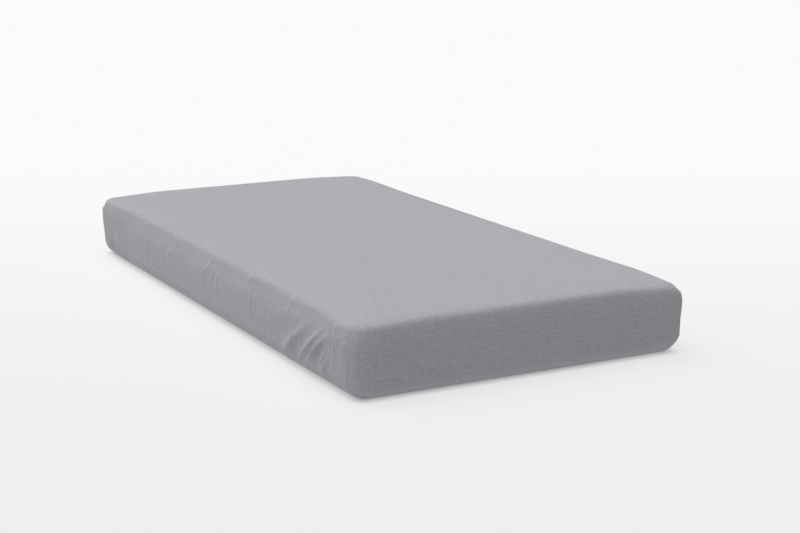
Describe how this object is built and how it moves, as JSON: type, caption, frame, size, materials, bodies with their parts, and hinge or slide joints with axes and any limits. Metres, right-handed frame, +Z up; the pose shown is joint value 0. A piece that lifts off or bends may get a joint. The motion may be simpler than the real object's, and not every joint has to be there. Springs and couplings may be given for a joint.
{
  "type": "memory foam mattress",
  "caption": "Flat rectangular foam mattress with softly rounded edges, dressed in a stretch jersey fitted cover over a zipped inner cover.",
  "frame": {"origin": "middle of the face that the mattress lies on", "axes": "+Z up, Y along the mattress, X across it; the zip is on the +X side"},
  "size_m": [0.965, 1.905, 0.194],
  "materials": {
    "heather_jersey": "matte heather-grey stretch jersey with fine streaks",
    "seam_thread": "matte overlock thread",
    "elastic": "matte woven elastic",
    "white_knit": "matte double knit",
    "grey_border_cloth": "matte spacer knit",
    "grip_cloth": "matte woven with grip dots",
    "binding_cloth": "matte tape",
    "zip_tape": "matte herringbone tape",
    "zip_coil": "satin nylon",
    "zip_metal": "satin",
    "barrier_knit": "matte open knit",
    "memory_foam": "matte open-cell polyurethane foam",
    "transition_foam": "matte open-cell polyurethane foam",
    "base_foam": "matte open-cell polyurethane foam",
    "label_satin": "satin ribbon"
  },
  "bodies": {
    "mattress": {"fitted_cover": "heather_jersey", "hem_elastic": "elastic", "corner_seam_front_left": "seam_thread", "corner_seam_front_right": "seam_thread", "corner_seam_back_left": "seam_thread", "corner_seam_back_right": "seam_thread", "care_label": "label_satin", "cover_top_panel": "white_knit", "cover_border": "grey_border_cloth", "cover_bottom_panel": "grip_cloth", "top_seam_binding": "binding_cloth", "bottom_seam_binding": "binding_cloth", "cover_label": "label_satin", "zip_upper_tape": "zip_tape", "zip_lower_tape": "zip_tape", "zip_upper_coil": "zip_coil", "zip_lower_coil": "zip_coil", "zip_top_stop": "zip_metal", "zip_bottom_stop": "zip_metal", "fire_barrier_sleeve": "barrier_knit", "memory_foam": "memory_foam", "transition_foam": "transition_foam", "base_foam": "base_foam"},
    "slider": {"zip_slider": "zip_metal"}
  },
  "joints": [
    {"name": "zip_slider_travel", "type": "slide", "parent": "mattress", "child": "slider", "axis": [0, 1, 0], "range_m": [0, 1.712]}
  ]
}
